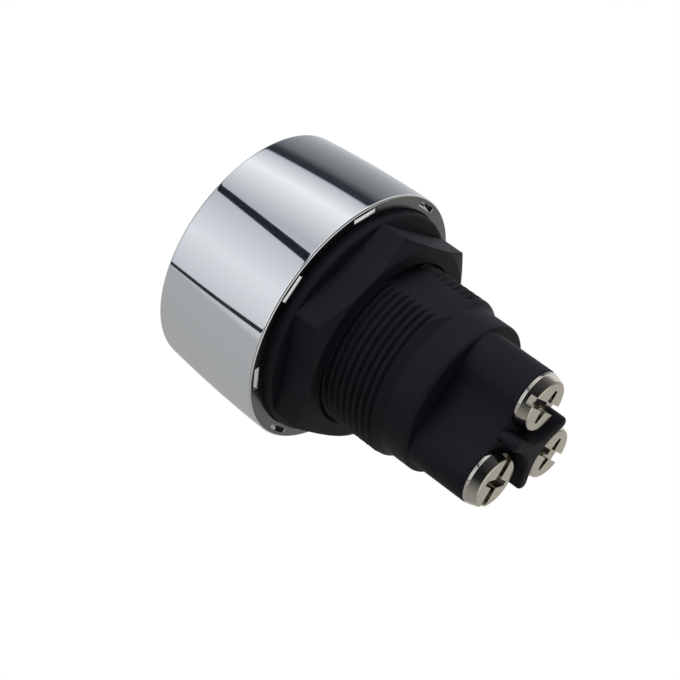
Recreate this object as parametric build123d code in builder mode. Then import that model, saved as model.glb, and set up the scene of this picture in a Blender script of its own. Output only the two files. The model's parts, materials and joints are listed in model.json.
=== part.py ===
from build123d import *
import os
from math import cos, radians, sin, sqrt, tan

# Engine start button: a chromed push button for a 22 mm panel hole, with a lamp and three screw terminals.
# Millimetres. The axis of the switch is Z, and the button's face looks along +Z. The origin is on the axis,
# in the plane of the bezel's rear rim, where the front face of the panel lies.

# Bezel
bezel_radius = 17.0
bezel_front_radius = 16.1
bezel_crown = 0.2
bezel_length = 16.8
bezel_wall = 1.7
bezel_front_edge = 0.3
bezel_rear_edge = 0.3
bezel_dish = 1.0
bezel_land = 1.9
bezel_lip = 2.0
notch_count = 8
notch_length = 4.1
notch_width = 1.0
notch_depth = 1.0
notch_turn = 2.8

# Snap bead that holds the bezel on the body, with its longer slope towards the front
bead_rise = 0.3
bead_height = 6.0
bead_lead = 0.9
bead_back = 0.4

# Switch body, with depths counted from the panel plane towards the rear
thread_radius = 10.9
thread_flat_depth = 0.6
thread_flat_turn = 60.0
thread_straight = 13.0
thread_end = 14.2
collar_step = 0.8
collar_end = 19.2
collar_round = 0.8
post_radius = 3.8
post_inset = 0.3
post_end = 26.7
post_root = 16.0
core_inset = 1.0
barrier_thickness = 1.6
barrier_turn = 60.0
barrier_inset = 0.4
barrier_end = 29.2
barrier_round = 0.45
cup_wall = 1.5
cup_floor = 1.6
barrel_wall = 2.2
cavity_depth = 15.0

# Panel nut
nut_wall = 2.05
nut_flange_step = 0.05
nut_flange_thickness = 1.3
nut_flange_edge = 0.3
nut_height = 5.75
nut_chamfer_angle = 30.0
nut_turn = -5.15
nut_bore_chamfer = 0.5

# Button: the light guide with its rim, web and stem, and the cap set into the rim
button_radius = 11.6
button_travel = 2.5
rim_wall = 1.2
rim_setback = 0.5
rim_edge = 0.3
web_thickness = 1.2
stem_wall = 1.0
stem_neck = 0.8
stem_tail = 0.6
shoulder_edge = 0.7
shoulder_thickness = 1.0
shoulder_depth = 4.6
cap_setback = 0.7
cap_dish = 0.5
cap_edge = 0.5
cap_face = 1.2
cap_skirt = 1.2
peg_count = 3
peg_radius = 0.9
peg_inset = 3.0
peg_proud = 0.3

# Contacts
pad_radius = 1.5
pad_height = 2.5
pad_edge = 0.25
contact_gap = 2.0
disc_thickness = 0.8
rest_length = 2.0
rest_width = 3.0
clip_lip = 0.8
clip_thickness = 0.6
clip_groove = 0.3
clip_mouth = 2.4

# Springs
return_wire = 1.0
return_turns = 3.0
return_inset = 1.1
contact_wire = 0.6
contact_turns = 3.0
wire_sides = 6

# Terminal inserts and their screws
insert_radius = 2.6
insert_hole_depth = 9.0
lamp_pad_radius = 0.9
lamp_pad_inset = 0.6
lamp_pad_height = 0.8
screw_radius = 1.95
screw_length = 8.0
screw_head_radius = 3.7
screw_head_height = 1.6
screw_head_round = 0.3
screw_slot = 1.1
screw_slot_depth = 0.9
screw_cross = 4.4
screw_cross_depth = 1.3

# Lamp
holder_radius = 2.7
holder_wall = 0.6
holder_socket = 1.0
holder_gate = 0.9
led_radius = 2.5
led_flange_step = 0.4
led_flange_thickness = 1.0
led_height = 8.6
leg_offset = 1.27
leg_radius = 0.25
leg_bend = 0.8
resistor_radius = 0.8
resistor_length = 3.4
resistor_edge = 0.3
resistor_drop = 4.5

# Clearances
shell_gap = 0.1
button_gap = 0.3
stop_gap = 0.4
rest_gap = 0.1
seat_gap = 0.05
cap_gap = 0.1
insert_gap = 0.03
screw_gap = 0.05
thread_gap = 0.1
disc_gap = 0.2
disc_side_gap = 0.4
pad_side_gap = 0.4
spring_gap = 0.9
led_gap = 0.3
lamp_gap = 0.8

# Where the pieces meet
bezel_bore = bezel_radius - bezel_wall
lip_under = bezel_length - bezel_dish - bezel_lip
cup_radius = bezel_bore - shell_gap
cup_bore = cup_radius - cup_wall
cup_top = lip_under - seat_gap
collar_radius = thread_radius - collar_step
barrel_bore = thread_radius - barrel_wall
post_circle = collar_radius - post_inset - post_radius
core_radius = post_circle - core_inset
barrier_radius = post_circle - barrier_inset
nut_bore = thread_radius + thread_gap
nut_across_flats = 2 * (nut_bore + nut_wall)
nut_flange_radius = nut_across_flats / sqrt(3) + nut_flange_step
web_high = lip_under - rest_gap
web_low = web_high - web_thickness
web_radius = cup_bore - stop_gap
rim_top = bezel_length - rim_setback
rim_bore = button_radius - rim_wall
cap_radius = rim_bore - cap_gap
cap_top = bezel_length - cap_setback
cap_under = cap_top - cap_dish - cap_face
peg_circle = rim_bore - peg_inset
led_flange_radius = led_radius + led_flange_step
holder_top = cap_under - button_travel - lamp_gap - led_height
stem_bore = led_flange_radius + led_gap
stem_radius = stem_bore + stem_wall
cavity_floor = -cavity_depth
pad_circle = barrel_bore - pad_side_gap - pad_radius
pad_top = cavity_floor + pad_height
disc_radius = barrel_bore - disc_side_gap
disc_low = pad_top + contact_gap
disc_high = disc_low + disc_thickness
clip_radius = stem_radius + clip_lip
clip_high = disc_low - seat_gap
clip_low = clip_high - clip_thickness
stem_end = clip_low - seat_gap - stem_tail
groove_radius = stem_radius - clip_groove
return_mean_radius = barrel_bore + return_inset + return_wire / 2
contact_mean_radius = stem_radius + spring_gap + contact_wire / 2
shoulder_radius = contact_mean_radius + contact_wire / 2 + shoulder_edge
lamp_pad_circle = post_circle - lamp_pad_inset
leg_level = cavity_floor + leg_radius
resistor_top = holder_top - resistor_drop
resistor_low = resistor_top - resistor_length

# The terminals stand at even turns round the axis, each with the direction of its screw's slot
terminal_turns = {"lamp": 0.0, "feed": 120.0, "start": 240.0}
slot_turns = {"lamp": 3.0, "feed": 82.0, "start": 1.0}


def around(circle, turn, height=0.0):
    """The point at a turn in degrees on a circle about the axis."""
    return Vector(circle * cos(radians(turn)), circle * sin(radians(turn)), height)


def finish(piece, label):
    """Labels a finished piece and writes its file."""
    piece.part.label = label
    export_step(piece.part, f"parts/{label}.step")


os.makedirs("parts", exist_ok=True)

# Bezel: a crowned cup with a dished front ring, notched round its rear rim
with BuildPart() as bezel:
    with BuildSketch(Plane.XZ) as bezel_section:
        with BuildLine():
            rear_corner = (bezel_radius, 0)
            front_corner = (bezel_front_radius, bezel_length)
            middle = ((bezel_radius + bezel_front_radius) / 2 + bezel_crown, bezel_length / 2)
            Line((bezel_bore, 0), rear_corner)
            ThreePointArc(rear_corner, middle, front_corner)
            Polyline(
                front_corner,
                (bezel_front_radius - bezel_land, bezel_length),
                (button_radius + button_gap, bezel_length - bezel_dish),
                (button_radius + button_gap, lip_under),
                (bezel_bore, lip_under),
                (bezel_bore, bead_height + bead_lead),
                (bezel_bore + bead_rise, bead_height),
                (bezel_bore, bead_height - bead_back),
                (bezel_bore, 0),
            )
        make_face()
        chamfer(bezel_section.vertices().group_by(Axis.Y)[0].sort_by(Axis.X)[-1], bezel_rear_edge)
        fillet(bezel_section.vertices().group_by(Axis.Y)[-1].sort_by(Axis.X)[-1], bezel_front_edge)
    revolve(axis=Axis.Z)
    with BuildSketch(Plane.XY):
        with PolarLocations(bezel_bore, notch_count, start_angle=notch_turn):
            Rectangle(2 * notch_width, notch_length)
    extrude(amount=notch_depth, mode=Mode.SUBTRACT)
finish(bezel, "bezel")

# Switch body: cup, threaded barrel, collar, terminal posts and barrier in one moulding
with BuildPart() as switch_body:
    with BuildSketch(Plane.XZ):
        with BuildLine():
            Polyline(
                (0, cup_top),
                (cup_radius, cup_top),
                (cup_radius, bead_height + bead_lead),
                (cup_radius + bead_rise, bead_height),
                (cup_radius, bead_height - bead_back),
                (cup_radius, 0),
                (thread_radius, 0),
                (thread_radius, -thread_straight),
                (collar_radius, -thread_end),
                (collar_radius, collar_round - collar_end),
            )
            collar_edge = (collar_radius, collar_round - collar_end)
            collar_face = (collar_radius - collar_round, -collar_end)
            RadiusArc(collar_edge, collar_face, collar_round)
            Polyline(collar_face, (0, -collar_end), (0, cup_top))
        make_face()
    revolve(axis=Axis.Z)
    with BuildSketch(Plane.XY):
        with PolarLocations(thread_radius, 2, start_angle=thread_flat_turn):
            Rectangle(2 * thread_flat_depth, 2 * thread_radius)
    extrude(amount=-thread_end, mode=Mode.SUBTRACT)
    with BuildSketch(Plane.XY.offset(-post_root)):
        Circle(core_radius)
        with PolarLocations(post_circle, len(terminal_turns)):
            Circle(post_radius)
    extrude(amount=post_root - post_end)
    with BuildSketch(Plane.XY.offset(-post_root)):
        with PolarLocations(barrier_radius / 2, len(terminal_turns), start_angle=barrier_turn):
            SlotOverall(barrier_radius, barrier_thickness)
    extrude(amount=post_root - barrier_end)
    barrier_rim = switch_body.faces().sort_by(Axis.Z)[0].edges()
    fillet(barrier_rim, barrier_round)
    with BuildSketch(Plane.XY.offset(cup_top)):
        Circle(cup_bore)
    extrude(amount=cup_floor - cup_top, mode=Mode.SUBTRACT)
    with BuildSketch(Plane.XY.offset(cup_floor)):
        Circle(barrel_bore)
    extrude(amount=cavity_floor - cup_floor, mode=Mode.SUBTRACT)
    with BuildSketch(Plane.XY.offset(cavity_floor)):
        with Locations((barrel_bore + (barrel_wall / 2 - rest_length) / 2, 0)):
            Rectangle(rest_length + barrel_wall / 2, rest_width)
    extrude(amount=pad_height)
    with BuildSketch(Plane.XY.offset(cavity_floor)):
        Circle(holder_radius + insert_gap)
    extrude(amount=-holder_socket, mode=Mode.SUBTRACT)
    with BuildSketch(Plane.XY.offset(-post_end)):
        with PolarLocations(post_circle, len(terminal_turns)):
            Circle(insert_radius + insert_gap)
    extrude(amount=post_end - cavity_depth, mode=Mode.SUBTRACT)
finish(switch_body, "switch_body")

# Panel nut: round flange and hexagon, its corners taken off by a cone
with BuildPart() as panel_nut:
    nut_front = -seat_gap
    nut_rear = nut_front - nut_height
    with BuildSketch(Plane.XY.offset(nut_front)):
        RegularPolygon(nut_across_flats / 2, 6, major_radius=False, rotation=nut_turn)
    extrude(amount=-nut_height)
    with BuildSketch(Plane.XZ):
        with BuildLine():
            chamfer_rise = (nut_flange_radius - nut_across_flats / 2) * tan(radians(nut_chamfer_angle))
            Polyline(
                (0, nut_front),
                (nut_flange_radius, nut_front),
                (nut_flange_radius, nut_rear + chamfer_rise),
                (nut_across_flats / 2, nut_rear),
                (0, nut_rear),
                close=True,
            )
        make_face()
    revolve(axis=Axis.Z, mode=Mode.INTERSECT)
    with BuildSketch(Plane.XZ):
        with BuildLine():
            flange_rear = nut_front - nut_flange_thickness
            Polyline(
                (0, nut_front),
                (nut_flange_radius, nut_front),
                (nut_flange_radius, flange_rear + nut_flange_edge),
                (nut_flange_radius - nut_flange_edge, flange_rear),
                (0, flange_rear),
                close=True,
            )
        make_face()
    revolve(axis=Axis.Z)
    with BuildSketch(Plane.XY.offset(nut_front)):
        Circle(nut_bore)
    extrude(amount=-nut_height, mode=Mode.SUBTRACT)
    bore_rims = panel_nut.edges().filter_by(GeomType.CIRCLE).group_by(SortBy.RADIUS)[0]
    chamfer(bore_rims.sort_by(Axis.Z)[0], nut_bore_chamfer)
finish(panel_nut, "panel_nut")

# Light guide: lit rim, stop web and hollow stem turned in one clear moulding
with BuildPart() as light_guide:
    with BuildSketch(Plane.XZ):
        with BuildLine():
            Polyline(
                (stem_bore, stem_end),
                (stem_radius, stem_end),
                (stem_radius, clip_low - seat_gap),
                (groove_radius, clip_low - seat_gap),
                (groove_radius, clip_high + seat_gap),
                (stem_radius, clip_high + seat_gap),
                (stem_radius, -shoulder_depth),
                (shoulder_radius, -shoulder_depth),
                (shoulder_radius, shoulder_thickness - shoulder_depth),
                (stem_radius, shoulder_thickness + shoulder_radius - stem_radius - shoulder_depth),
                (stem_radius, web_low - stem_neck),
                (stem_radius + stem_neck, web_low),
                (web_radius, web_low),
                (web_radius, web_high),
                (button_radius, web_high),
                (button_radius, rim_top),
                (rim_bore, rim_top),
                (rim_bore, web_high),
                (stem_bore, web_high),
                close=True,
            )
        make_face()
    revolve(axis=Axis.Z)
    chamfer(light_guide.edges().filter_by(GeomType.CIRCLE).group_by(Axis.Z)[-1], rim_edge)
    with BuildSketch(Plane.XY.offset(web_high)):
        with PolarLocations(peg_circle, peg_count):
            Circle(peg_radius + cap_gap)
    extrude(amount=-web_thickness, mode=Mode.SUBTRACT)
finish(light_guide, "light_guide")

# Button cap: a dished disc with a skirt, and pegs through the web
with BuildPart() as button_cap:
    with BuildSketch(Plane.XZ):
        with BuildLine():
            dish_rim = (cap_radius - cap_edge, cap_top)
            TangentArc((0, cap_top - cap_dish), dish_rim, tangent=(1, 0))
            Polyline(
                dish_rim,
                (cap_radius, cap_top - cap_edge),
                (cap_radius, web_high),
                (0, web_high),
                (0, cap_top - cap_dish),
            )
        make_face()
    revolve(axis=Axis.Z)
    with BuildSketch(Plane.XY.offset(web_high)):
        Circle(cap_radius - cap_skirt)
    extrude(amount=cap_under - web_high, mode=Mode.SUBTRACT)
    with BuildSketch(Plane.XY.offset(cap_under)):
        with PolarLocations(peg_circle, peg_count):
            Circle(peg_radius)
    extrude(amount=web_low - peg_proud - cap_under)
finish(button_cap, "button_cap")

# Contact disc: the brass ring that bridges the feed and start pads
with BuildPart() as contact_disc:
    with BuildSketch(Plane.XY.offset(disc_low)):
        Circle(disc_radius)
        Circle(stem_radius + disc_gap, mode=Mode.SUBTRACT)
    extrude(amount=disc_thickness)
finish(contact_disc, "contact_disc")

# Stem clip: an open ring in the stem's groove, under the contact disc
with BuildPart() as stem_clip:
    with BuildSketch(Plane.XY.offset(clip_low)):
        Circle(clip_radius)
        Circle(groove_radius + seat_gap, mode=Mode.SUBTRACT)
        with Locations((-clip_radius, 0)):
            Rectangle(2 * clip_radius, clip_mouth, mode=Mode.SUBTRACT)
    extrude(amount=clip_thickness)
finish(stem_clip, "stem_clip")


def coil(mean_radius, wire, low, high, turns):
    """A helical wire, its section a polygon, that stands between two seats with a gap at each."""
    rise = high - low - wire - 2 * seat_gap
    with BuildPart() as spring:
        with BuildLine(Plane.XY.offset(low + wire / 2 + seat_gap)) as path:
            Helix(rise / turns, rise, mean_radius)
        with BuildSketch(Plane(path.line @ 0, z_dir=path.line % 0)):
            RegularPolygon(wire / 2, wire_sides)
        sweep(is_frenet=True)
    return spring


finish(coil(return_mean_radius, return_wire, cup_floor, web_low, return_turns), "return_spring")
finish(coil(contact_mean_radius, contact_wire, disc_high, -shoulder_depth, contact_turns), "contact_spring")

# Terminals: a brass insert moulded into each post, with a contact pad at its inner end, and its screw
for name, turn in terminal_turns.items():
    has_contact = name != "lamp"
    inner_pad_radius = pad_radius if has_contact else lamp_pad_radius
    inner_pad_circle = pad_circle if has_contact else lamp_pad_circle
    inner_pad_height = pad_height if has_contact else lamp_pad_height
    with BuildPart() as insert:
        with BuildSketch(Plane(around(post_circle, turn, -post_end))):
            Circle(insert_radius)
        extrude(amount=post_end - cavity_depth)
        with BuildSketch(Plane(around(inner_pad_circle, turn, cavity_floor))):
            Circle(inner_pad_radius)
        extrude(amount=inner_pad_height)
        chamfer(insert.edges().filter_by(GeomType.CIRCLE).sort_by(Axis.Z)[-1], pad_edge)
        with BuildSketch(Plane(around(post_circle, turn, -post_end))):
            Circle(screw_radius + screw_gap)
        extrude(amount=insert_hole_depth, mode=Mode.SUBTRACT)
    finish(insert, f"{name}_terminal")

    slot_direction = around(1, slot_turns[name])
    seat = Plane(around(post_circle, turn, -post_end), x_dir=slot_direction, z_dir=(0, 0, -1))
    with BuildPart(seat) as screw:
        with BuildSketch(seat):
            Circle(screw_head_radius)
        extrude(amount=screw_head_height)
        fillet(screw.edges().filter_by(GeomType.CIRCLE).sort_by(Axis.Z)[0], screw_head_round)
        with BuildSketch(seat):
            Circle(screw_radius)
        extrude(amount=-screw_length)
        with BuildSketch(seat.offset(screw_head_height)):
            Rectangle(2 * screw_head_radius, screw_slot)
        extrude(amount=-screw_slot_depth, mode=Mode.SUBTRACT)
        with BuildSketch(seat.offset(screw_head_height)):
            Rectangle(screw_slot, screw_cross)
            Rectangle(screw_cross, screw_slot)
        extrude(amount=-screw_cross_depth, mode=Mode.SUBTRACT)
    finish(screw, f"{name}_screw")

# Lamp: LED on a tubular holder, its legs and a series resistor down the tube to the feed and lamp terminals
lamp_leg_foot = Vector(leg_offset, 0, leg_level)
feed_leg_foot = Vector(-leg_offset, 0, leg_level)
feed_pad = around(pad_circle, terminal_turns["feed"], leg_level)
feed_leg_end = feed_pad - (feed_pad - feed_leg_foot).normalized() * (pad_radius + insert_gap)
lamp_leg_end = Vector(lamp_pad_circle - lamp_pad_radius - insert_gap, 0, leg_level)

with BuildPart() as lamp_holder:
    with BuildSketch(Plane.XY.offset(cavity_floor - holder_socket)):
        Circle(holder_radius)
        Circle(holder_radius - holder_wall, mode=Mode.SUBTRACT)
    extrude(amount=holder_top + cavity_depth + holder_socket)
    for foot, end in ((lamp_leg_foot, lamp_leg_end), (feed_leg_foot, feed_leg_end)):
        gate = Plane((foot + end) / 2 - Vector(0, 0, leg_radius), x_dir=end - foot, z_dir=(0, 0, 1))
        with BuildSketch(gate):
            Rectangle((end - foot).length, holder_gate)
        extrude(amount=holder_gate, mode=Mode.SUBTRACT)
finish(lamp_holder, "lamp_holder")

with BuildPart() as led:
    with BuildSketch(Plane.XY.offset(holder_top)):
        Circle(led_flange_radius)
    extrude(amount=led_flange_thickness)
    with BuildSketch(Plane.XZ):
        with BuildLine():
            dome_base = holder_top + led_height - led_radius
            Polyline((0, holder_top), (led_radius, holder_top), (led_radius, dome_base))
            RadiusArc((led_radius, dome_base), (0, holder_top + led_height), -led_radius)
            Line((0, holder_top + led_height), (0, holder_top))
        make_face()
    revolve(axis=Axis.Z)
finish(led, "led")


def wire_along(points):
    """A round wire along a path, with its corner rounded to the leg's bend."""
    with BuildPart() as wire:
        with BuildLine() as path:
            if len(points) == 2:
                Line(*points)
            else:
                FilletPolyline(*points, radius=leg_bend)
        with BuildSketch(Plane(path.line @ 0, z_dir=path.line % 0)):
            RegularPolygon(leg_radius, wire_sides)
        sweep()
    return wire


finish(wire_along([(leg_offset, 0, holder_top), lamp_leg_foot, lamp_leg_end]), "led_lamp_leg")
finish(wire_along([(-leg_offset, 0, holder_top), (-leg_offset, 0, resistor_top)]), "led_feed_leg")
finish(wire_along([(-leg_offset, 0, resistor_low), feed_leg_foot, feed_leg_end]), "resistor_lead")

with BuildPart() as resistor:
    with BuildSketch(Plane((-leg_offset, 0, resistor_low))):
        Circle(resistor_radius)
    extrude(amount=resistor_length)
    chamfer(resistor.edges().filter_by(GeomType.CIRCLE), resistor_edge)
finish(resistor, "resistor")
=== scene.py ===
import json
import math
import bpy
from mathutils import Matrix, Vector


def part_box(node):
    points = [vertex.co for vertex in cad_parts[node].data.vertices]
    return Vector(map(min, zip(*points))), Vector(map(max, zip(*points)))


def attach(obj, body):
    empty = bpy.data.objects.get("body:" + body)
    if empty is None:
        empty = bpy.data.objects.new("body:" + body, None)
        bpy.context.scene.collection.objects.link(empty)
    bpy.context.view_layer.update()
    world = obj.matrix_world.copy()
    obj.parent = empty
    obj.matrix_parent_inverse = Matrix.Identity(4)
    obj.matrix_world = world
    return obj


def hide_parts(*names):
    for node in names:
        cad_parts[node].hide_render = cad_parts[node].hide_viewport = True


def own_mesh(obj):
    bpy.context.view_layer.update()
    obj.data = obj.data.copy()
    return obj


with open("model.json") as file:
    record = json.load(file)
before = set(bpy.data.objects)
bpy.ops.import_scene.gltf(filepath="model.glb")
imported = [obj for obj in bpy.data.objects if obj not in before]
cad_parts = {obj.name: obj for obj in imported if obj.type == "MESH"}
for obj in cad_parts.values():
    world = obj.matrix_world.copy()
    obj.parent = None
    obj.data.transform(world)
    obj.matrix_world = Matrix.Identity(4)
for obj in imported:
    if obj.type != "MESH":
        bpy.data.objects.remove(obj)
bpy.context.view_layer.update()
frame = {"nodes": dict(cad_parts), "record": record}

# Sizes are in millimetres and turns in degrees, in the switch's own frame: its axis is Z, its face looks
# along +Z, and the panel's front face lies in the plane of the origin. A name that ends in ROUND is the
# radius of a rounded corner, and one that ends in STEPS says how finely a round shape is divided.
MM = 0.001
ROUND_STEPS = 192
CORNER_STEPS = 6
# Vertices this near, in metres, are one. Cutting leaves slivers up to the second size.
WELD = 1e-7
SLIVER = 2e-6
# How far a cutter stands out past what it cuts
OVERCUT = 1.0
# A face looks along an axis when its normal has at least this share of it
FACING = 0.9
# Faces that meet at less than this angle are shaded as one smooth surface
SMOOTH_ANGLE = 30.0

# Bezel
BEZEL_LENGTH = (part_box("bezel")[1].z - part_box("bezel")[0].z) / MM
BEZEL_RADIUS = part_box("bezel")[1].x / MM
BEZEL_STEPS = 256
BEZEL_FRONT_RADIUS = 16.1
BEZEL_FRONT_ROUND = 0.3
BEZEL_FRONT_RISE = 0.4
BEZEL_REAR_ROUND = 0.3
BEZEL_CROWN = 0.2
# Where the crowned side is drawn, as shares of its height, with a close pair beside each rounded edge
BEZEL_SIDE = [0.026, 0.035, *[k / 12 for k in range(1, 12)], 0.965, 0.974]
BEZEL_BORE = 15.3
BEZEL_LAND = 1.9
LAND_TOP_ROUND = 1.2
LAND_INNER_ROUND = 0.5
BEZEL_OPENING = 11.9
BEZEL_OPENING_ROUND = 0.3
BEZEL_DISH = 1.0
BEZEL_LIP = 2.0
# The bead on the body's cup, and the groove in the bezel that it snaps into
BEAD_HEIGHT = 6.0
BEAD_RISE = 0.3
BEAD_LEAD = 0.9
BEAD_BACK = 0.4
NOTCH_COUNT = 8
NOTCH_INNER = 15.75
NOTCH_LENGTH = 3.5
NOTCH_WIDTH = 0.62
NOTCH_DEPTH = 0.14
NOTCH_SLOPE = 0.4
NOTCH_EDGE = 0.06
NOTCH_TURN = 2.8

# Switch body
CUP_RADIUS = 15.2
CUP_BORE = 13.7
CUP_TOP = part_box("switch_body")[1].z / MM
CUP_FLOOR = 1.6
CUP_ROUND = 0.2
BARREL_BORE = 8.7
BARREL_END = -13.45
BARREL_ROUND = 0.6
CAVITY_FLOOR = -15.0
SOCKET_RADIUS = 2.73
SOCKET_DEPTH = 1.0
FLAT_DISTANCE = 10.13
FLAT_TURN = 58.5
FLAT_HALF_WIDTH = 6.0
FLAT_CUT = 2.0
FLAT_TOP = -0.02
SHOULDER_END = -14.3
SHOULDER_ROUND = 0.8
COLLAR_RADIUS = 10.1
COLLAR_END = -18.4
COLLAR_ROUND = 0.5
POST_RADIUS = 3.8
POST_CIRCLE = 6.0
POST_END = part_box("feed_terminal")[0].z / MM
# The posts and the ribs run up into the collar as far as their tops
POST_TOP = -16.5
POST_EDGE_ROUND = 0.2
POST_STEPS = 40
VALLEY_STEPS = 16
INSERT_BORE = 2.63
INSERT_STEPS = 64
HUB_RADIUS = 5.65
RIB_RADIUS = 5.6
RIB_THICKNESS = 1.6
RIB_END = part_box("switch_body")[0].z / MM
RIB_TOP = -16.0
RIB_EDGE_ROUND = 0.45
RIB_TIP_STEPS = 16
RIB_CORNER_STEPS = 12
LOWER_RIM_STEPS = 4
# The ledge on the cavity's floor, which sinks a little into the floor and the wall
REST_LENGTH = 2.0
REST_WIDTH = 3.0
REST_TOP = -12.5
REST_SINK = 0.2

# Thread, with half of each groove's section from its floor to its mouth as radius and half width
PITCH = 1.0
CREST_RADIUS = 10.9
ROOT_RADIUS = 10.42
GROOVE_START = -13.5
GROOVE_TURNS = 12
GROOVE_HALF = [(ROOT_RADIUS, 0.13), (CREST_RADIUS - 0.1, 0.36), (CREST_RADIUS + 0.07, 0.47)]
NUT_BORE = 11.0
NUT_GROOVE_LEAD = 0.4
NUT_GROOVE_TURNS = 7
NUT_GROOVE_HALF = [(NUT_BORE + 0.4, 0.13), (NUT_BORE - 0.06, 0.46)]

# Panel nut
NUT_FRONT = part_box("panel_nut")[1].z / MM
NUT_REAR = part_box("panel_nut")[0].z / MM
NUT_FLANGE_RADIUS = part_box("panel_nut")[1].x / MM
NUT_FLANGE = 1.3
NUT_FLANGE_ROUND = 0.35
NUT_FACE_ROUND = 0.15
NUT_FLATS = 26.1
NUT_TURN = -5.15
NUT_CHAMFER = 30.0
NUT_EDGE_ROUND = 0.2
NUT_EDGE_STEPS = 3
NUT_MOUTH = 0.2

# Terminal screws
SCREW_RADIUS = 1.95
SCREW_LENGTH = 8.0
SCREW_TIP_ROUND = 0.3
SCREW_STEPS = 96
HEAD_RADIUS = 3.7
HEAD_FLAT = 3.25
HEAD_EXTRA = 0.15
HEAD_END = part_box("feed_screw")[0].z / MM - HEAD_EXTRA
HEAD_ROUND = 0.3
HEAD_SKIRT = 0.4
HEAD_SIDE_ROUND = 0.3
HEAD_UNDER_ROUND = 0.05
SLOT_WIDTH = 1.2
SLOT_DEPTH = 0.9
CROSS_LENGTH = 4.4
CROSS_WIDTH = 1.5
CROSS_TIP = 0.6
CROSS_DEPTH = 2.0
CROSS_TAPER = 0.6
CROSS_OVERLAP = 0.1
# Each terminal's turn about the axis, and the turn of its screw's slot
TERMINALS = {"lamp": (0.0, 3.0), "feed": (120.0, 82.0), "start": (240.0, 1.0)}

# Button
BUTTON_RADIUS = 11.6
RIM_BORE = 10.4
RIM_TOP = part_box("light_guide")[1].z / MM
RIM_ROUND = 0.4
WEB_RADIUS = 13.3
WEB_HIGH = 13.7
WEB_LOW = 12.5
WEB_ROUND = 0.2
WEB_STEM_ROUND = 0.8
STEM_RADIUS = 4.2
STEM_BORE = 3.2
STEM_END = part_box("light_guide")[0].z / MM
CLIP_GROOVE_RADIUS = 3.9
CLIP_GROOVE = (-11.2, -10.5)
STEM_SHOULDER_RADIUS = 6.4
STEM_SHOULDER = (-4.6, -3.6)
CAP_RADIUS = 10.3
CAP_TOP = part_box("button_cap")[1].z / MM
CAP_ROUND = 0.45
CAP_DISH = 0.5
CAP_DISH_STEPS = 16
CAP_UNDER = 14.4
CAP_SKIRT = 1.2
PEG_TURNS = (0, 120, 240)
PEG_CIRCLE = 7.4
PEG_RADIUS = 0.9
PEG_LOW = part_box("button_cap")[0].z / MM
PEG_ROUND = 0.2
PEG_SINK = 0.2
PEG_GAP = 0.1
PEG_HOLE_OVERCUT = 0.3
PEG_STEPS = 32

# Springs, each as mean radius, wire, lowest and highest point and turns
RETURN_SPRING = (10.3, 1.0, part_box("return_spring")[0].z / MM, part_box("return_spring")[1].z / MM, 3)
CONTACT_SPRING = (5.4, 0.6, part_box("contact_spring")[0].z / MM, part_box("contact_spring")[1].z / MM, 3)
WIRE_STEPS = 16
COIL_STEPS = 64


def linear(hex_colour):
    """An sRGB hex colour as linear red, green, blue and alpha."""
    parts = [int(hex_colour[k:k + 2], 16) / 255 for k in (1, 3, 5)]
    return (*[p / 12.92 if p <= 0.04045 else ((p + 0.055) / 1.055) ** 2.4 for p in parts], 1.0)


def on_circle(radius, turn):
    """The point, in metres, at a turn on a circle about the axis."""
    angle = math.radians(turn)
    return Vector((radius * math.cos(angle), radius * math.sin(angle), 0)) * MM


def flat_point(radius, turn):
    """The same point in millimetres and without its height, for an outline across the axis."""
    return Vector((on_circle(radius, turn) / MM)[:2])


# Modelling


def only(piece):
    """Selects one object and nothing else."""
    bpy.ops.object.select_all(action="DESELECT")
    piece.select_set(True)
    bpy.context.view_layer.objects.active = piece


def settle(piece):
    """Puts a piece's place, turn and size into its mesh."""
    only(piece)
    bpy.ops.object.transform_apply(location=True, rotation=True, scale=True)


def pick(piece, kind, test):
    """Selects the vertices, edges or faces of a piece that pass a test. Leaves edit mode on."""
    bpy.context.view_layer.objects.active = piece
    bpy.ops.object.mode_set(mode="EDIT")
    bpy.ops.mesh.select_mode(type=kind)
    bpy.ops.mesh.select_all(action="DESELECT")
    bpy.ops.object.mode_set(mode="OBJECT")
    parts = {"VERT": piece.data.vertices, "EDGE": piece.data.edges, "FACE": piece.data.polygons}
    for part in parts[kind]:
        part.select = test(part)
    bpy.ops.object.mode_set(mode="EDIT")


def merge(distance):
    """Merges near vertices of the mesh in edit mode and takes out what that leaves without area."""
    bpy.ops.mesh.select_all(action="SELECT")
    bpy.ops.mesh.remove_doubles(threshold=distance)
    bpy.ops.mesh.dissolve_degenerate(threshold=distance)


def close_up():
    """Merges doubled vertices of the mesh in edit mode and turns its faces outwards. Leaves edit mode."""
    merge(WELD)
    bpy.ops.mesh.select_all(action="SELECT")
    bpy.ops.mesh.normals_make_consistent(inside=False)
    bpy.ops.object.mode_set(mode="OBJECT")


def outline(corners):
    """An outline's points: each corner is (radius, height), or (radius, height, rounding) for an arc."""
    points = []
    for before, corner, after in zip([corners[0], *corners], corners, [*corners[1:], corners[-1]]):
        place = Vector(corner[:2])
        if len(corner) == 2:
            points.append(place)
            continue
        rounding = corner[2]
        back = (Vector(before[:2]) - place).normalized()
        onward = (Vector(after[:2]) - place).normalized()
        half = back.angle(onward) / 2
        centre = place + (back + onward).normalized() * rounding / math.sin(half)
        start = place + back * rounding / math.tan(half) - centre
        end = place + onward * rounding / math.tan(half) - centre
        for k in range(CORNER_STEPS + 1):
            points.append(centre + start.slerp(end, k / CORNER_STEPS) * rounding)
    return points


def arc(centre, radius, start, end, steps):
    """Points along an arc between two turns."""
    turns = [math.radians(start + (end - start) * k / steps) for k in range(steps + 1)]
    return [centre + Vector((math.cos(turn), math.sin(turn))) * radius for turn in turns]


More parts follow.
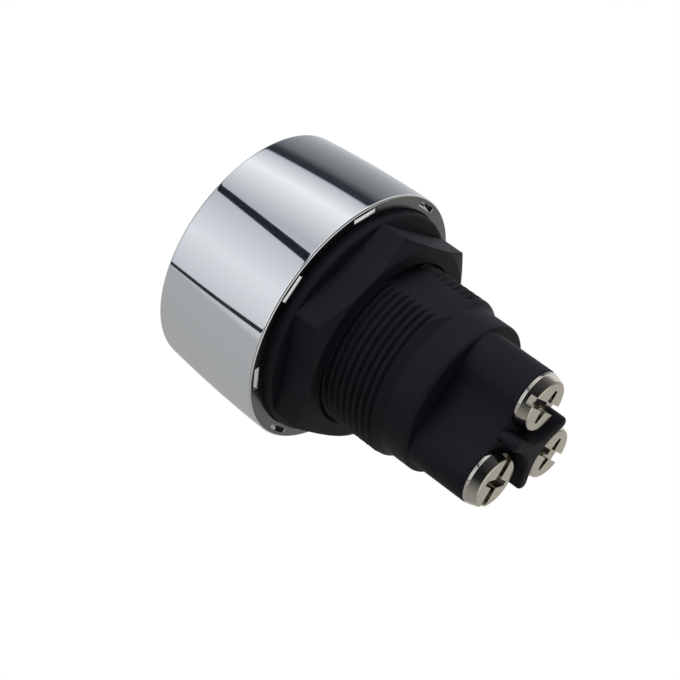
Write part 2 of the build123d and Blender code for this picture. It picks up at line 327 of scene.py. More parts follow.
def draw(name, points, second=(0, 0, 1)):
    """One vertex, extruded from point to point along X and a second axis. Leaves edit mode on."""
    second = Vector(second)
    bpy.ops.object.select_all(action="DESELECT")
    bpy.ops.mesh.primitive_plane_add(size=MM)
    piece = bpy.context.object
    piece.name = name
    bpy.ops.object.mode_set(mode="EDIT")
    bpy.ops.mesh.select_mode(type="VERT")
    bpy.ops.mesh.merge(type="CENTER")
    bpy.ops.transform.translate(value=Vector((points[0].x * MM, 0, 0)) + second * points[0].y * MM)
    for here, there in zip(points, points[1:]):
        step = (there - here) * MM
        move = Vector((step.x, 0, 0)) + second * step.y
        bpy.ops.mesh.extrude_vertices_move(TRANSFORM_OT_translate={"value": move})
    bpy.ops.mesh.select_all(action="SELECT")
    return piece


def turned(name, corners, steps=ROUND_STEPS):
    """A shape turned about the axis from the corners of its half section."""
    piece = draw(name, outline(corners))
    bpy.ops.mesh.spin(steps=steps, angle=2 * math.pi, center=(0, 0, 0), axis=(0, 0, 1))
    close_up()
    return piece


def rod(name, radius, low, high, steps=ROUND_STEPS):
    """A plain round rod on the axis between two heights, to cut with."""
    return turned(name, [(0, low), (radius, low), (radius, high), (0, high)], steps)


def block(name, low, high):
    """A box between two corners, to cut with or to shape."""
    low, high = Vector(low), Vector(high)
    bpy.ops.object.select_all(action="DESELECT")
    bpy.ops.mesh.primitive_cube_add(size=MM)
    piece = bpy.context.object
    piece.name = name
    piece.scale = high - low
    piece.location = (low + high) / 2 * MM
    settle(piece)
    return piece


def prism(name, points, low, high, rounding):
    """An outline across the axis, raised between two heights, with the lower rim rounded."""
    piece = draw(name, [*points, points[0]], second=(0, 1, 0))
    bpy.ops.mesh.remove_doubles(threshold=WELD)
    bpy.ops.transform.translate(value=(0, 0, low * MM))
    bpy.ops.mesh.edge_face_add()
    bpy.ops.mesh.extrude_region_move(TRANSFORM_OT_translate={"value": (0, 0, (high - low) * MM)})
    corners = piece.data.vertices
    middle = (low + high) / 2 * MM
    pick(piece, "EDGE", lambda line: max(corners[v].co.z for v in line.vertices) < middle)
    bpy.ops.mesh.bevel(offset=rounding * MM, segments=LOWER_RIM_STEPS, affect="EDGES")
    close_up()
    return piece


def wound(name, section, pitch, turns, steps):
    """A closed section wound upwards round the axis as a right-hand helix, with closed ends."""
    piece = draw(name, [Vector(point) for point in (*section, section[0])])
    bpy.ops.mesh.remove_doubles(threshold=WELD)
    bpy.ops.object.mode_set(mode="OBJECT")
    screw = piece.modifiers.new("helix", "SCREW")
    screw.screw_offset = pitch * MM
    screw.iterations = turns
    screw.steps = screw.render_steps = steps
    bpy.ops.object.modifier_apply(modifier=screw.name)
    bpy.ops.object.mode_set(mode="EDIT")
    bpy.ops.mesh.select_all(action="SELECT")
    bpy.ops.mesh.remove_doubles(threshold=WELD)
    bpy.ops.mesh.fill_holes(sides=0)
    close_up()
    return piece


def thread_groove(name, half, start, turns):
    """A thread's groove to cut with, from half of its section and the height where it starts."""
    lower = [(radius, start - width) for radius, width in half]
    upper = [(radius, start + width) for radius, width in reversed(half)]
    return wound(name, lower + upper, PITCH, turns, ROUND_STEPS)


def coil(name, mean_radius, wire, low, high, turns):
    """A round wire wound into a coil between two heights."""
    half = wire / 2
    angles = [2 * math.pi * k / WIRE_STEPS for k in range(WIRE_STEPS)]
    section = [(mean_radius + half * math.cos(a), low + half + half * math.sin(a)) for a in angles]
    return wound(name, section, (high - low - wire) / turns, turns, COIL_STEPS)


def copy_at(piece, turn, place=(0, 0, 0)):
    """A copy of a piece with its own mesh, turned about the axis and then moved."""
    copy = piece.copy()
    copy.data = piece.data.copy()
    bpy.context.collection.objects.link(copy)
    copy.rotation_euler.z = math.radians(turn)
    copy.location = place
    settle(copy)
    return copy


def copies_around(piece, turns, circle=0.0):
    """The piece, moved out to a circle about the axis, at each turn, joined to one object."""
    piece.location = on_circle(circle, 0)
    settle(piece)
    pieces = [copy_at(piece, turn) for turn in turns]
    bpy.data.objects.remove(piece)
    bpy.ops.object.select_all(action="DESELECT")
    for copy in pieces:
        copy.select_set(True)
    bpy.context.view_layer.objects.active = pieces[0]
    bpy.ops.object.join()
    return pieces[0]


def combine(piece, other, operation):
    """Adds another shape to a piece, takes it away or keeps what both share, and removes that shape."""
    only(piece)
    modifier = piece.modifiers.new("combine", "BOOLEAN")
    modifier.operation = operation
    modifier.object = other
    modifier.solver = "EXACT"
    bpy.ops.object.modifier_apply(modifier=modifier.name)
    bpy.data.objects.remove(other)


def hand_over(piece, body, slot, stands_for):
    """Finishes a piece: its shading, its material, the body it rides on and the node it stands for."""
    only(piece)
    bpy.ops.object.shade_smooth_by_angle(angle=math.radians(SMOOTH_ANGLE))
    piece.data.materials.clear()
    piece.data.materials.append(FINISHES[slot])
    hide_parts(stands_for)
    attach(piece, body)


# Materials


def fill(tree, target, inputs):
    """Links each named input of a node to a socket, or sets it to a value."""
    for name, value in inputs.items():
        if isinstance(value, bpy.types.NodeSocket):
            tree.links.new(value, target.inputs[name])
        else:
            target.inputs[name].default_value = value


def node(tree, kind, inputs, **attributes):
    """Adds a node with its attributes and its inputs."""
    made = tree.nodes.new(kind)
    for name, value in attributes.items():
        setattr(made, name, value)
    fill(tree, made, inputs)
    return made


def shader(name, inputs):
    """A new material with its shader's inputs set, and its tree and shader to build on."""
    material = bpy.data.materials.new(name)
    material.use_nodes = True
    tree = material.node_tree
    principled = tree.nodes["Principled BSDF"]
    fill(tree, principled, inputs)
    return material, tree, principled


def per_size(millimetres):
    """A texture scale whose cells are about this size."""
    return 1 / (millimetres * MM)


def decorative_chrome():
    """Chrome plate over a polished moulding: a clean mirror, a little wavy, rougher on the rear rim, whose
    flat is painted grey as painted shade.
    """
    material, tree, principled = shader("decorative_chrome_plate", {"Metallic": 1.0})
    place = node(tree, "ShaderNodeTexCoord", {}).outputs["Object"]
    # The rear rim's flat lies at height 0. There it is painted a darker grey as painted shade and is rougher;
    # full chrome starts just above it
    height = node(tree, "ShaderNodeSeparateXYZ", {"Vector": place}).outputs["Z"]
    above_shaded_rim = node(tree, "ShaderNodeMapRange", {"Value": height, "From Min": 0.02 * MM, "From Max": 0.05 * MM})
    # A is the painted shade on the rear rim's flat, B the chrome's own tone
    colours = {"Factor": above_shaded_rim.outputs["Result"], "A": linear("#6C6E70"), "B": linear("#E4E7EA")}
    tone = node(tree, "ShaderNodeMix", colours, data_type="RGBA")
    # The moulding under the plate has waves about 6 mm long, and polishing leaves a haze in 1.5 mm patches
    wave = node(tree, "ShaderNodeTexNoise", {"Vector": place, "Scale": per_size(6.0), "Detail": 1.0})
    haze = node(tree, "ShaderNodeTexNoise", {"Vector": place, "Scale": per_size(1.5), "Detail": 3.0})
    gloss = node(tree, "ShaderNodeMapRange", {"Value": haze.outputs["Fac"], "To Min": 0.03, "To Max": 0.07})
    rough = node(tree, "ShaderNodeMapRange", {
        "Value": above_shaded_rim.outputs["Result"], "To Min": 0.28, "To Max": gloss.outputs["Result"],
    })
    bump = node(tree, "ShaderNodeBump", {
        "Height": wave.outputs["Fac"], "Strength": 0.02, "Distance": 0.2 * MM,
    })
    fill(tree, principled, {
        "Base Color": tone.outputs["Result"],
        "Roughness": rough.outputs["Result"],
        "Normal": bump.outputs["Normal"],
    })
    return material


def moulded_nylon():
    """Black glass-filled nylon from a spark-eroded mould: a near-black satin with a very fine grain."""
    material, tree, principled = shader("moulded_black_nylon", {"Specular IOR Level": 0.12})
    place = node(tree, "ShaderNodeTexCoord", {}).outputs["Object"]
    # The flow of the moulding shows as 4 mm patches
    flow = node(tree, "ShaderNodeTexNoise", {"Vector": place, "Scale": per_size(4.0), "Detail": 4.0})
    colours = {"Factor": flow.outputs["Fac"], "A": linear("#0F0F15"), "B": linear("#15151D")}
    tone = node(tree, "ShaderNodeMix", colours, data_type="RGBA")
    rough = node(tree, "ShaderNodeMapRange", {"Value": flow.outputs["Fac"], "To Min": 0.5, "To Max": 0.6})
    # The real grain, some hundredths of a millimetre, is too fine to show, so it is drawn coarser
    grain = node(tree, "ShaderNodeTexNoise", {"Vector": place, "Scale": per_size(0.18), "Detail": 2.0})
    bump = node(tree, "ShaderNodeBump", {
        "Height": grain.outputs["Fac"], "Strength": 0.12, "Distance": 0.05 * MM,
    })
    fill(tree, principled, {
        "Base Color": tone.outputs["Result"],
        "Roughness": rough.outputs["Result"],
        "Normal": bump.outputs["Normal"],
    })
    return material


def plain_finish(name, colours, grain, roughness, depth=0.0, inputs=None):
    """A finish whose tone, roughness and depth in millimetres vary over patches of one grain size."""
    material, tree, principled = shader(name, inputs or {})
    place = node(tree, "ShaderNodeTexCoord", {}).outputs["Object"]
    patch = node(tree, "ShaderNodeTexNoise", {"Vector": place, "Scale": per_size(grain), "Detail": 3.0})
    patch = patch.outputs["Fac"]
    ends = {"Factor": patch, "A": linear(colours[0]), "B": linear(colours[1])}
    tone = node(tree, "ShaderNodeMix", ends, data_type="RGBA")
    rough = node(tree, "ShaderNodeMapRange", {"Value": patch, "To Min": roughness[0], "To Max": roughness[1]})
    fill(tree, principled, {"Base Color": tone.outputs["Result"], "Roughness": rough.outputs["Result"]})
    if depth:
        bump = node(tree, "ShaderNodeBump", {"Height": patch, "Strength": 0.2, "Distance": depth * MM})
        fill(tree, principled, {"Normal": bump.outputs["Normal"]})
    return material


METAL = {"Metallic": 1.0}

FINISHES = {
    "chrome_plate": decorative_chrome(),
    "black_nylon": moulded_nylon(),
    # Bright nickel on a cold-headed screw: a warm grey metal, slightly hazed
    "nickel_plate": plain_finish(
        "bright_nickel_plate", ("#CDC9C0", "#C0BCB4"), grain=0.5, roughness=(0.08, 0.18), depth=0.03,
        inputs=METAL,
    ),
    # Frosted polycarbonate: milky, with a soft sheen, and light passes into it
    "clear_polycarbonate": plain_finish(
        "frosted_polycarbonate", ("#E9ECEE", "#DFE3E6"), grain=1.2, roughness=(0.3, 0.4),
        inputs={"Transmission Weight": 0.35, "IOR": 1.585},
    ),
    # Polished black cap: a deep gloss with a trace of mould flow
    "cap_plastic": plain_finish(
        "polished_black_cap", ("#0B0B0C", "#101012"), grain=3.0, roughness=(0.12, 0.18),
    ),
    # Turned brass: a yellow metal with the soft gloss that a lathe tool leaves
    "contact_brass": plain_finish(
        "turned_brass", ("#C9A45A", "#B8924A"), grain=0.5, roughness=(0.22, 0.34), depth=0.01,
        inputs=METAL,
    ),
    # Drawn spring wire: a grey metal, dulled by the die
    "spring_steel": plain_finish(
        "drawn_spring_wire", ("#A9ABAD", "#94979A"), grain=0.3, roughness=(0.25, 0.38), depth=0.01,
        inputs=METAL,
    ),
    # Natural white nylon: an off-white satin moulding
    "white_nylon": plain_finish(
        "natural_white_nylon", ("#E2E1DA", "#D8D6CE"), grain=0.8, roughness=(0.42, 0.52), depth=0.02,
    ),
    # Tinted lamp epoxy: a smooth red gloss that light passes into
    "led_epoxy": plain_finish(
        "tinted_lamp_epoxy", ("#C0201A", "#A81812"), grain=1.5, roughness=(0.06, 0.1),
        inputs={"Transmission Weight": 0.7, "IOR": 1.54},
    ),
    # Tinned copper wire: a soft pale grey metal
    "tinned_wire": plain_finish(
        "tinned_copper_wire", ("#C4C5C6", "#B4B6B8"), grain=0.2, roughness=(0.24, 0.36), depth=0.01,
        inputs=METAL,
    ),
    # Resistor enamel: a beige dipped coat, slightly uneven
    "resistor_enamel": plain_finish(
        "resistor_enamel", ("#CDB48C", "#BFA47A"), grain=0.4, roughness=(0.35, 0.5), depth=0.02,
    ),
}


# Pieces


def make_notches():
    """Narrow pockets to cut in the rear rim, deeper towards the outside, with mouths flared at 45 degrees."""
    half = NOTCH_LENGTH / 2
    outer = NOTCH_INNER + NOTCH_WIDTH
    notch = block("notch", (NOTCH_INNER, -half, NOTCH_EDGE), (outer, half, NOTCH_DEPTH))
    middle = (NOTCH_INNER + NOTCH_WIDTH / 2) * MM
    middle_height = (NOTCH_EDGE + NOTCH_DEPTH) / 2 * MM
    pick(notch, "VERT", lambda corner: corner.co.z > middle_height and corner.co.x > middle)
    bpy.ops.transform.translate(value=(0, 0, NOTCH_SLOPE * MM))
    pick(notch, "FACE", lambda face: face.normal.z < -FACING)
    bpy.ops.mesh.extrude_region_move(TRANSFORM_OT_translate={"value": (0, 0, -2 * NOTCH_EDGE * MM)})
    flare = 4 * NOTCH_EDGE
    bpy.ops.transform.resize(value=(1 + flare / NOTCH_WIDTH, 1 + flare / NOTCH_LENGTH, 1))
    bpy.ops.object.mode_set(mode="OBJECT")
    return copies_around(notch, [NOTCH_TURN + 360 / NOTCH_COUNT * k for k in range(NOTCH_COUNT)])


def make_bezel():
    """Chromed cup: crowned side, rounded front edge, dished ring, and notches round the rear rim."""
    edge = BEZEL_LENGTH - BEZEL_FRONT_RISE
    taper = BEZEL_FRONT_RADIUS - BEZEL_RADIUS
    side = [(BEZEL_RADIUS + taper * t + 4 * BEZEL_CROWN * t * (1 - t), edge * t) for t in BEZEL_SIDE]
    lip = BEZEL_LENGTH - BEZEL_DISH - BEZEL_LIP
    bezel = turned("bezel_shell", [
        (BEZEL_BORE, 0),
        (BEZEL_RADIUS, 0, BEZEL_REAR_ROUND),
        *side,
        (BEZEL_FRONT_RADIUS, edge, BEZEL_FRONT_ROUND),
        (BEZEL_FRONT_RADIUS - BEZEL_LAND / 2, BEZEL_LENGTH, LAND_TOP_ROUND),
        (BEZEL_FRONT_RADIUS - BEZEL_LAND, BEZEL_LENGTH, LAND_INNER_ROUND),
        (BEZEL_OPENING, BEZEL_LENGTH - BEZEL_DISH, BEZEL_OPENING_ROUND),
        (BEZEL_OPENING, lip),
        (BEZEL_BORE, lip),
        (BEZEL_BORE, BEAD_HEIGHT + BEAD_LEAD),
        (BEZEL_BORE + BEAD_RISE, BEAD_HEIGHT),
        (BEZEL_BORE, BEAD_HEIGHT - BEAD_BACK),
        (BEZEL_BORE, 0),
    ], BEZEL_STEPS)
    combine(bezel, make_notches(), "DIFFERENCE")
    hand_over(bezel, "housing", "chrome_plate", "bezel")


def make_posts():
    """Three posts whose sides run into each other in hollow curves."""
    # A hollow touches the hub's circle and the posts on both sides of it, which gives its radius
    hollow = POST_RADIUS ** 2 - HUB_RADIUS ** 2 + POST_CIRCLE * HUB_RADIUS - POST_CIRCLE ** 2
    hollow /= 2 * HUB_RADIUS - POST_CIRCLE - 2 * POST_RADIUS
    reach = HUB_RADIUS + hollow
    lean = math.degrees(math.atan2(reach * math.sin(math.pi / 3), reach / 2 - POST_CIRCLE))
    points = []
    for turn, _ in TERMINALS.values():
        post = flat_point(POST_CIRCLE, turn)
        valley = flat_point(reach, turn + 60)
        points += arc(post, POST_RADIUS, turn - lean, turn + lean, POST_STEPS)
        points += arc(valley, hollow, turn + lean + 180, turn + 300 - lean, VALLEY_STEPS)[1:-1]
    return prism("posts", points, POST_END, POST_TOP, POST_EDGE_ROUND)


def make_barrier():
    """Three ribs between the terminals, with round tips, and hollow corners that follow the screw heads."""
    half = RIB_THICKNESS / 2
    hollow = POST_CIRCLE * math.sin(math.pi / 3) - half
    points = []
    for turn, _ in TERMINALS.values():
        tip = flat_point(RIB_RADIUS - half, turn + 60)
        post = flat_point(POST_CIRCLE, turn + 120)
        points += arc(tip, half, turn - 30, turn + 150, RIB_TIP_STEPS)
        points += arc(post, hollow, turn + 330, turn + 270, RIB_CORNER_STEPS)
    return prism("barrier", points, RIB_END, RIB_TOP, RIB_EDGE_ROUND)


def make_switch_body():
    """Black moulding: cup, threaded barrel, collar, three terminal posts and the barrier between them."""
    body = turned("switch_moulding", [
        (0, COLLAR_END),
        (COLLAR_RADIUS, COLLAR_END, COLLAR_ROUND),
        (COLLAR_RADIUS, SHOULDER_END, SHOULDER_ROUND),
        (CREST_RADIUS, BARREL_END, BARREL_ROUND),
        (CREST_RADIUS, 0),
        (CUP_RADIUS, 0, CUP_ROUND),
        (CUP_RADIUS, BEAD_HEIGHT - BEAD_BACK),
        (CUP_RADIUS + BEAD_RISE, BEAD_HEIGHT),
        (CUP_RADIUS, BEAD_HEIGHT + BEAD_LEAD),
        (CUP_RADIUS, CUP_TOP),
        (CUP_BORE, CUP_TOP),
        (CUP_BORE, CUP_FLOOR),
        (BARREL_BORE, CUP_FLOOR),
        (BARREL_BORE, CAVITY_FLOOR),
        (SOCKET_RADIUS, CAVITY_FLOOR),
        (SOCKET_RADIUS, CAVITY_FLOOR - SOCKET_DEPTH),
        (0, CAVITY_FLOOR - SOCKET_DEPTH),
    ])
    flat = block(
        "flat", (FLAT_DISTANCE, -FLAT_HALF_WIDTH, COLLAR_END),
        (FLAT_DISTANCE + FLAT_CUT, FLAT_HALF_WIDTH, FLAT_TOP),
    )
    combine(body, copies_around(flat, [FLAT_TURN, FLAT_TURN + 180]), "DIFFERENCE")
    combine(body, thread_groove("groove", GROOVE_HALF, GROOVE_START, GROOVE_TURNS), "DIFFERENCE")
    posts = make_posts()
    combine(posts, make_barrier(), "UNION")
    combine(body, posts, "UNION")
    insert = rod("insert_bore", INSERT_BORE, POST_END - OVERCUT, CAVITY_FLOOR + OVERCUT, INSERT_STEPS)
    turns = [turn for turn, _ in TERMINALS.values()]
    combine(body, copies_around(insert, turns, POST_CIRCLE), "DIFFERENCE")
    rest = block(
        "rest", (BARREL_BORE - REST_LENGTH, -REST_WIDTH / 2, CAVITY_FLOOR - REST_SINK),
        (BARREL_BORE + REST_SINK, REST_WIDTH / 2, REST_TOP),
    )
    combine(body, rest, "UNION")
    only(body)
    bpy.ops.object.mode_set(mode="EDIT")
    merge(SLIVER)
    close_up()
    hand_over(body, "housing", "black_nylon", "switch_body")


def make_panel_nut():
    """Flanged hexagon nut, its corners taken off by a cone, with a thread in its bore."""
    across = NUT_FLATS / 2
    bpy.ops.object.select_all(action="DESELECT")
    bpy.ops.mesh.primitive_cylinder_add(
        vertices=6, radius=across / math.cos(math.pi / 6) * MM, depth=(NUT_FRONT - NUT_REAR) * MM,
        location=(0, 0, (NUT_FRONT + NUT_REAR) / 2 * MM), rotation=(0, 0, math.radians(NUT_TURN + 30)),
    )
    nut = bpy.context.object
    nut.name = "flanged_nut"
    settle(nut)
    corners = nut.data.vertices

    def upright(line):
        """Whether an edge of the hexagon runs along the axis."""
        first, second = line.vertices
        return abs(corners[first].co.z - corners[second].co.z) > MM

    pick(nut, "EDGE", upright)
    bpy.ops.mesh.bevel(offset=NUT_EDGE_ROUND * MM, segments=NUT_EDGE_STEPS, affect="EDGES")
    close_up()
    rise = (NUT_FLANGE_RADIUS - across) * math.tan(math.radians(NUT_CHAMFER))
    cone = turned("cone", [
        (0, NUT_FRONT + OVERCUT),
        (NUT_FLANGE_RADIUS, NUT_FRONT + OVERCUT),
        (NUT_FLANGE_RADIUS, NUT_REAR + rise),
        (across, NUT_REAR),
        (0, NUT_REAR),
    ])
    combine(nut, cone, "INTERSECT")
    flange = turned("flange", [
        (0, NUT_FRONT),
        (NUT_FLANGE_RADIUS, NUT_FRONT, NUT_FACE_ROUND),
        (NUT_FLANGE_RADIUS, NUT_FRONT - NUT_FLANGE, NUT_FLANGE_ROUND),
        (0, NUT_FRONT - NUT_FLANGE),
    ])
    combine(nut, flange, "UNION")
    combine(nut, rod("bore", NUT_BORE, NUT_REAR - OVERCUT, NUT_FRONT + OVERCUT), "DIFFERENCE")
    mouth = turned("mouth", [
        (0, NUT_REAR - OVERCUT),
        (NUT_BORE + NUT_MOUTH + OVERCUT, NUT_REAR - OVERCUT),
        (NUT_BORE, NUT_REAR + NUT_MOUTH),
        (0, NUT_REAR + NUT_MOUTH),
    ])
    combine(nut, mouth, "DIFFERENCE")
    groove = thread_groove("nut_groove", NUT_GROOVE_HALF, NUT_REAR - NUT_GROOVE_LEAD, NUT_GROOVE_TURNS)
    combine(nut, groove, "DIFFERENCE")
    hand_over(nut, "nut", "black_nylon", "panel_nut")


def make_terminal_screws():
    """Nickel-plated pan-head screws with a through slot and a cross recess, one in each post."""
    screw = turned("terminal_screw", [
        (0, HEAD_END),
        (HEAD_FLAT, HEAD_END, HEAD_ROUND),
        (HEAD_RADIUS, POST_END - HEAD_SKIRT, HEAD_SIDE_ROUND),
        (HEAD_RADIUS, POST_END, HEAD_UNDER_ROUND),
        (SCREW_RADIUS, POST_END),
        (SCREW_RADIUS, POST_END + SCREW_LENGTH, SCREW_TIP_ROUND),
        (0, POST_END + SCREW_LENGTH),
    ], SCREW_STEPS)
    slot = block(
        "slot", (-HEAD_RADIUS - OVERCUT, -SLOT_WIDTH / 2, HEAD_END - OVERCUT),
        (HEAD_RADIUS + OVERCUT, SLOT_WIDTH / 2, HEAD_END + SLOT_DEPTH),
    )
    combine(screw, slot, "DIFFERENCE")
    floor = HEAD_END + CROSS_DEPTH
    arm = block(
        "arm", (-CROSS_OVERLAP, -CROSS_WIDTH / 2, HEAD_END), (CROSS_LENGTH / 2, CROSS_WIDTH / 2, floor),
    )
    pick(arm, "FACE", lambda face: face.normal.x > FACING)
    bpy.ops.transform.resize(value=(1, CROSS_TIP / CROSS_WIDTH, 1))
    pick(arm, "FACE", lambda face: face.normal.z > FACING)
    bpy.ops.transform.resize(value=(CROSS_TAPER, 1, 1), center_override=(0, 0, floor * MM))
    pick(arm, "FACE", lambda face: face.normal.z < -FACING)
    bpy.ops.mesh.extrude_region_move(TRANSFORM_OT_translate={"value": (0, 0, -OVERCUT * MM)})
    bpy.ops.object.mode_set(mode="OBJECT")
    for turn in (0, 90, 180, 270):
        combine(screw, copy_at(arm, turn), "DIFFERENCE")
    bpy.data.objects.remove(arm)
    for name, (turn, slot_turn) in TERMINALS.items():
        copy = copy_at(screw, slot_turn, on_circle(POST_CIRCLE, turn))
        copy.name = f"{name}_terminal_screw"
        hand_over(copy, "housing", "nickel_plate", f"{name}_screw")
    bpy.data.objects.remove(screw)


def make_button():
    """The lit rim with its web and stem, and the dished cap inside it."""
    clip_low, clip_high = CLIP_GROOVE
    shoulder_low, shoulder_high = STEM_SHOULDER
    guide = turned("light_ring", [
        (STEM_BORE, STEM_END),
        (STEM_RADIUS, STEM_END),
        (STEM_RADIUS, clip_low),
        (CLIP_GROOVE_RADIUS, clip_low),
        (CLIP_GROOVE_RADIUS, clip_high),
        (STEM_RADIUS, clip_high),
        (STEM_RADIUS, shoulder_low),
        (STEM_SHOULDER_RADIUS, shoulder_low),
        (STEM_SHOULDER_RADIUS, shoulder_high),
        (STEM_RADIUS, shoulder_high + STEM_SHOULDER_RADIUS - STEM_RADIUS),
        (STEM_RADIUS, WEB_LOW, WEB_STEM_ROUND),
        (WEB_RADIUS, WEB_LOW, WEB_ROUND),
        (WEB_RADIUS, WEB_HIGH, WEB_ROUND),
        (BUTTON_RADIUS, WEB_HIGH),
        (BUTTON_RADIUS, RIM_TOP, RIM_ROUND),
        (RIM_BORE, RIM_TOP, RIM_ROUND),
        (RIM_BORE, WEB_HIGH),
        (STEM_BORE, WEB_HIGH),
        (STEM_BORE, STEM_END),
    ])
    hole = rod("peg_hole", PEG_RADIUS + PEG_GAP, WEB_LOW - OVERCUT, WEB_HIGH + PEG_HOLE_OVERCUT, PEG_STEPS)
    combine(guide, copies_around(hole, PEG_TURNS, PEG_CIRCLE), "DIFFERENCE")
    hand_over(guide, "button", "clear_polycarbonate", "light_guide")
    shares = [k / CAP_DISH_STEPS for k in range(CAP_DISH_STEPS - 1)]
    cap = turned("cap", [
        *[(CAP_RADIUS * t, CAP_TOP - CAP_DISH * (1 - t * t)) for t in shares],
        (CAP_RADIUS, CAP_TOP, CAP_ROUND),
        (CAP_RADIUS, WEB_HIGH),
        (CAP_RADIUS - CAP_SKIRT, WEB_HIGH),
        (CAP_RADIUS - CAP_SKIRT, CAP_UNDER),
        (0, CAP_UNDER),
    ])
    peg = turned("peg", [
        (0, PEG_LOW),
        (PEG_RADIUS, PEG_LOW, PEG_ROUND),
        (PEG_RADIUS, CAP_UNDER + PEG_SINK),
        (0, CAP_UNDER + PEG_SINK),
    ], PEG_STEPS)
    combine(cap, copies_around(peg, PEG_TURNS, PEG_CIRCLE), "UNION")
    hand_over(cap, "button", "cap_plastic", "button_cap")


def make_springs():
    """Round-wire coils, one riding on the housing and one on the button."""
    spring = coil("return_coil", *RETURN_SPRING)
    hand_over(spring, "housing", "spring_steel", "return_spring")
    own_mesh(spring)
    spring = coil("contact_coil", *CONTACT_SPRING)
    hand_over(spring, "button", "spring_steel", "contact_spring")
    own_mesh(spring)


make_bezel()
make_switch_body()
make_panel_nut()
make_terminal_screws()
make_button()
make_springs()

# The inner pieces keep their frame shapes, each with the finish of its slot
for part in frame["record"]["subparts"]:
    shown = frame["nodes"][part["node"]]
    if not shown.hide_render:
        shown.data.materials.clear()
        shown.data.materials.append(FINISHES[part["material_slot"]])

# Studio: a plain pale floor, soft light, and a surround of plain panels for the metal to mirror
FLOOR_HEIGHT = -0.25
FLOOR_SIZE = 6.0
EVEN_LIGHT = 0.6
PANEL_LIGHT = 1.2
WHITE = "#FFFFFF"
# Pale paper lies straight below. Each layer above it is a list of colours by turn, and the sines of the
# elevations over which it takes over from the one below: ground that is dark on the camera's side, a pale
# strip, the panels and an even dark ceiling.
PAPER = "#DAD8D4"
GROUND = [
    (0, "#B9B6B0"), (60, "#A8A6A2"), (115, "#8E8D8A"), (160, "#2A2B2D"), (190, "#18191B"), (260, "#4A4A4B"),
    (320, "#9A9894"), (360, "#B9B6B0"),
]
STRIP = [(0, "#D8D8D6"), (60, "#989896"), (125, "#A4A4A4"), (150, WHITE), (250, WHITE), (360, "#D8D8D6")]
# A grey wall on the far side, two pale panels on the camera's side, a dark gap, and a panel that fades in
PANELS = [
    (0, "#C8CACC"), (28, "#9E9E9E"), (125, "#A8A8A8"),
    (130, "#C2C5C8"), (168, "#DFE1E4"), (217, "#AEB2B6"), (254, "#F0F1F2"), (275, "#B8BBC0"),
    (277, "#2C3136"), (284, "#30353A"), (294, "#6A6E72"), (330, "#A0A4A6"), (360, "#C8CACC"),
]
CEILING = [(0, "#3C4044"), (360, "#3C4044")]
LAYERS = [
    (GROUND, (-0.8, -0.65)),
    (STRIP, (-0.05, 0.05)),
    (PANELS, (0.25, 0.4)),
    (CEILING, (0.88, 0.95)),
]
# Dark cloth over the seams between the panels, each as turn and width at its foot and at its top
SEAMS = [((143.0, 4.6), (112.0, 0.8)), ((198.3, 8.6), (230.8, 4.2))]
SEAM_ELEVATIONS = (10.0, 60.0)
SEAM_RADIUS = 0.6
# One soft square lamp, in metres and watts
LAMP_DIRECTION = Vector((-0.55, -0.75, 0.25))
LAMP_DISTANCE = 0.6
LAMP_SIZE = 0.4
LAMP_POWER = 4.0


def make_world():
    """White behind the object, panels in its reflections and even light on its dull surfaces."""
    world = bpy.data.worlds.new("studio")
    bpy.context.scene.world = world
    world.use_nodes = True
    tree = world.node_tree
    tree.nodes.clear()
    direction = node(tree, "ShaderNodeTexCoord", {}).outputs["Generated"]
    way = node(tree, "ShaderNodeSeparateXYZ", {"Vector": direction}).outputs
    turn = node(tree, "ShaderNodeMath", {0: way["Y"], 1: way["X"]}, operation="ARCTAN2")
    share = node(tree, "ShaderNodeMath", {0: turn.outputs[0], 1: 2 * math.pi}, operation="DIVIDE")
    share = node(tree, "ShaderNodeMath", {0: share.outputs[0]}, operation="FRACT")
    colour = linear(PAPER)
    for stops, (low, high) in LAYERS:
        ramp = node(tree, "ShaderNodeValToRGB", {"Fac": share.outputs[0]})
        marks = ramp.color_ramp.elements
        for stop, (degrees, hex_colour) in enumerate(stops):
            while len(marks) <= stop:
                marks.new(degrees / 360)
            marks[stop].position = degrees / 360
            marks[stop].color = linear(hex_colour)
        heights = {"Value": way["Z"], "From Min": low, "From Max": high}
        above = node(tree, "ShaderNodeMapRange", heights, interpolation_type="SMOOTHSTEP")
        layers = {"Factor": above.outputs["Result"], "A": colour, "B": ramp.outputs["Color"]}
        colour = node(tree, "ShaderNodeMix", layers, data_type="RGBA").outputs["Result"]
    panels = node(tree, "ShaderNodeBackground", {"Color": colour, "Strength": PANEL_LIGHT})
    shown = node(tree, "ShaderNodeBackground", {"Color": linear(WHITE), "Strength": EVEN_LIGHT})
    white = node(tree, "ShaderNodeBackground", {"Color": linear(WHITE), "Strength": 1.0})
    path = node(tree, "ShaderNodeLightPath", {}).outputs
    for ray, seen in (("Is Glossy Ray", panels), ("Is Transmission Ray", white), ("Is Camera Ray", white)):
        both = {"Fac": path[ray], 1: shown.outputs[0], 2: seen.outputs[0]}
        shown = node(tree, "ShaderNodeMixShader", both)
    node(tree, "ShaderNodeOutputWorld", {"Surface": shown.outputs[0]})


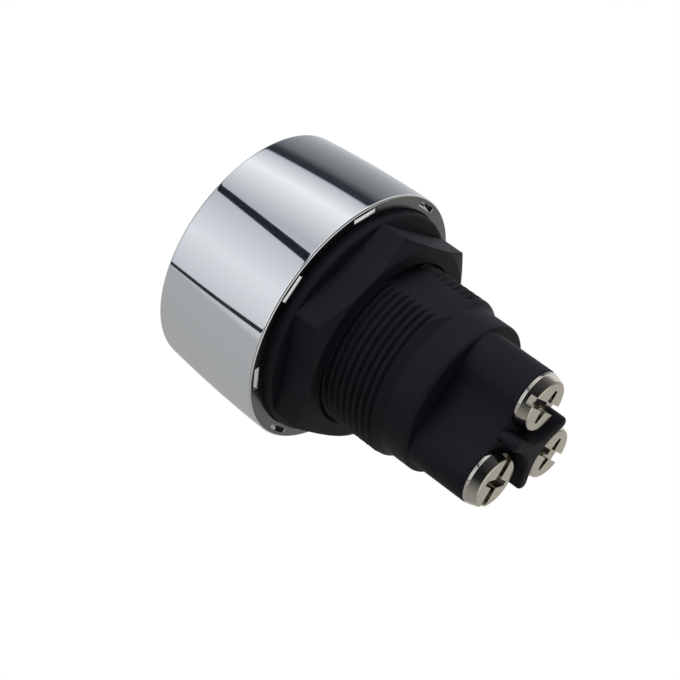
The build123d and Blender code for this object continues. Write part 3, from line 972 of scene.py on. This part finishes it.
def make_stage():
    """The floor, and the dark seams between the panels, which show only in reflections."""
    bpy.ops.object.select_all(action="DESELECT")
    bpy.ops.mesh.primitive_plane_add(size=FLOOR_SIZE, location=(0, 0, FLOOR_HEIGHT))
    floor = bpy.context.object
    floor.name = "floor"
    paper, _, _ = shader("floor_paper", {"Base Color": linear("#F2F2F0"), "Roughness": 0.9})
    floor.data.materials.append(paper)
    floor.visible_glossy = False
    cloth, _, _ = shader("seam_cloth", {
        "Base Color": linear("#000000"), "Roughness": 1.0, "Specular IOR Level": 0.0,
        "Emission Color": linear("#22282F"), "Emission Strength": 1.0,
    })
    for ends in SEAMS:
        bpy.ops.object.select_all(action="DESELECT")
        bpy.ops.mesh.primitive_plane_add(size=1)
        seam = bpy.context.object
        seam.name = "seam"
        corners = [
            (turn + side * width / 2, elevation)
            for (turn, width), elevation in zip(ends, SEAM_ELEVATIONS) for side in (-1, 1)
        ]
        for vertex, (turn, elevation) in zip(seam.data.vertices, corners):
            rise = SEAM_RADIUS * math.tan(math.radians(elevation))
            vertex.co = on_circle(SEAM_RADIUS / MM, turn) + Vector((0, 0, rise))
        seam.data.materials.append(cloth)
        seam.visible_camera = seam.visible_diffuse = seam.visible_shadow = seam.visible_transmission = False


def make_lamp():
    """The soft lamp, which shines on the origin and isn't mirrored."""
    lamp = bpy.data.lights.new("key_light", "AREA")
    lamp.size = LAMP_SIZE
    lamp.energy = LAMP_POWER
    holder = bpy.data.objects.new("key_light", lamp)
    bpy.context.collection.objects.link(holder)
    holder.location = LAMP_DIRECTION.normalized() * LAMP_DISTANCE
    holder.rotation_mode = "QUATERNION"
    holder.rotation_quaternion = LAMP_DIRECTION.to_track_quat("Z", "Y")
    holder.visible_glossy = False


make_world()
make_stage()
make_lamp()

# Camera: behind and below the switch, as in the photograph
CAMERA_EYE = Vector((-225.36, -29.09, -117.77)) * MM
CAMERA_AIM = Vector((-0.18, 2.90, -0.35)) * MM
CAMERA_UP = Vector((-0.1552, -0.8357, 0.5268))
CAMERA_LENS = 112.7
CAMERA_SENSOR = 36.0
CAMERA_NEAR = 0.01

camera_data = bpy.data.cameras.new("camera")
camera_data.lens = CAMERA_LENS
camera_data.sensor_width = CAMERA_SENSOR
camera_data.clip_start = CAMERA_NEAR
camera = bpy.data.objects.new("camera", camera_data)
bpy.context.collection.objects.link(camera)
look = (CAMERA_AIM - CAMERA_EYE).normalized()
right = look.cross(CAMERA_UP).normalized()
axes = Matrix((right, right.cross(look), -look)).transposed()
camera.matrix_world = Matrix.Translation(CAMERA_EYE) @ axes.to_4x4()
bpy.context.scene.camera = camera
bpy.context.scene.view_settings.view_transform = "Standard"
